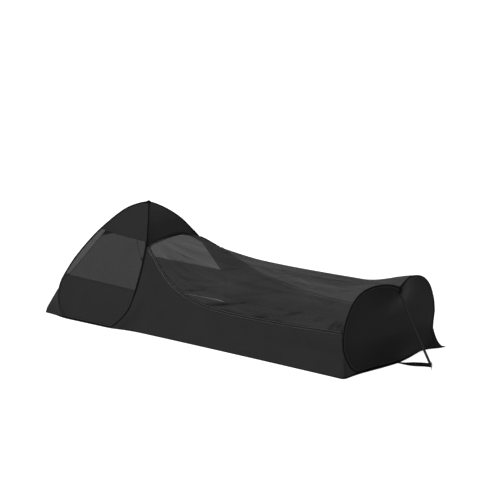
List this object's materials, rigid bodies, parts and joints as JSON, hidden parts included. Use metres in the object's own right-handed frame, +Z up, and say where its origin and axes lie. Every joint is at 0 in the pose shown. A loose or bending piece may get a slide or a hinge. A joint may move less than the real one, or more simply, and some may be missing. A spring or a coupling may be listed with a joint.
{
  "type": "pop-up mosquito net tent",
  "caption": "Low one-person tent held open by spring hoops: a domed head end with mesh windows, a long see-through net roof, cloth side walls and a lobed foot end with a pegged guy line.",
  "frame": {"origin": "centre of the groundsheet's rectangle, on the ground", "axes": "+X from the head dome to the foot end, -Y towards the near side wall of the picture, +Z up"},
  "size_m": [2.528, 0.9616, 0.6893],
  "materials": {
    "groundsheet": "matt coated groundsheet",
    "sleeve": "matt binding tape over spring steel",
    "polyester": "matt woven polyester with a faint sheen",
    "netting": "fine see-through mosquito mesh",
    "zip_tape": "coil zip with a pale edge",
    "zip_metal": "satin black zip slider",
    "webbing": "flat woven webbing",
    "cord": "braided cord",
    "peg_steel": "bright steel wire"
  },
  "bodies": {
    "root": {"groundsheet": "groundsheet", "near_head_hoop": "sleeve", "near_leaf_lower": "polyester", "near_leaf_cap": "polyester", "near_side_wall": "polyester", "near_foot_gusset": "polyester", "near_leaf_window": "netting", "near_head_gusset": "netting", "near_zip": "zip_tape", "near_zip_slider": "zip_metal", "far_head_hoop": "sleeve", "far_leaf_lower": "polyester", "far_leaf_cap": "polyester", "far_side_wall": "polyester", "far_foot_gusset": "polyester", "far_leaf_window": "netting", "far_head_gusset": "netting", "far_zip": "zip_tape", "far_zip_slider": "zip_metal", "head_lower": "netting", "head_upper": "polyester", "head_cap": "polyester", "hood": "polyester", "foot_panel": "polyester", "head_window": "netting", "net_roof": "netting", "foot_hoop": "sleeve", "foot_tab": "webbing", "ground_strap": "webbing", "apex_tie": "webbing", "guy_line": "cord", "ground_peg": "peg_steel"}
  },
  "joints": []
}
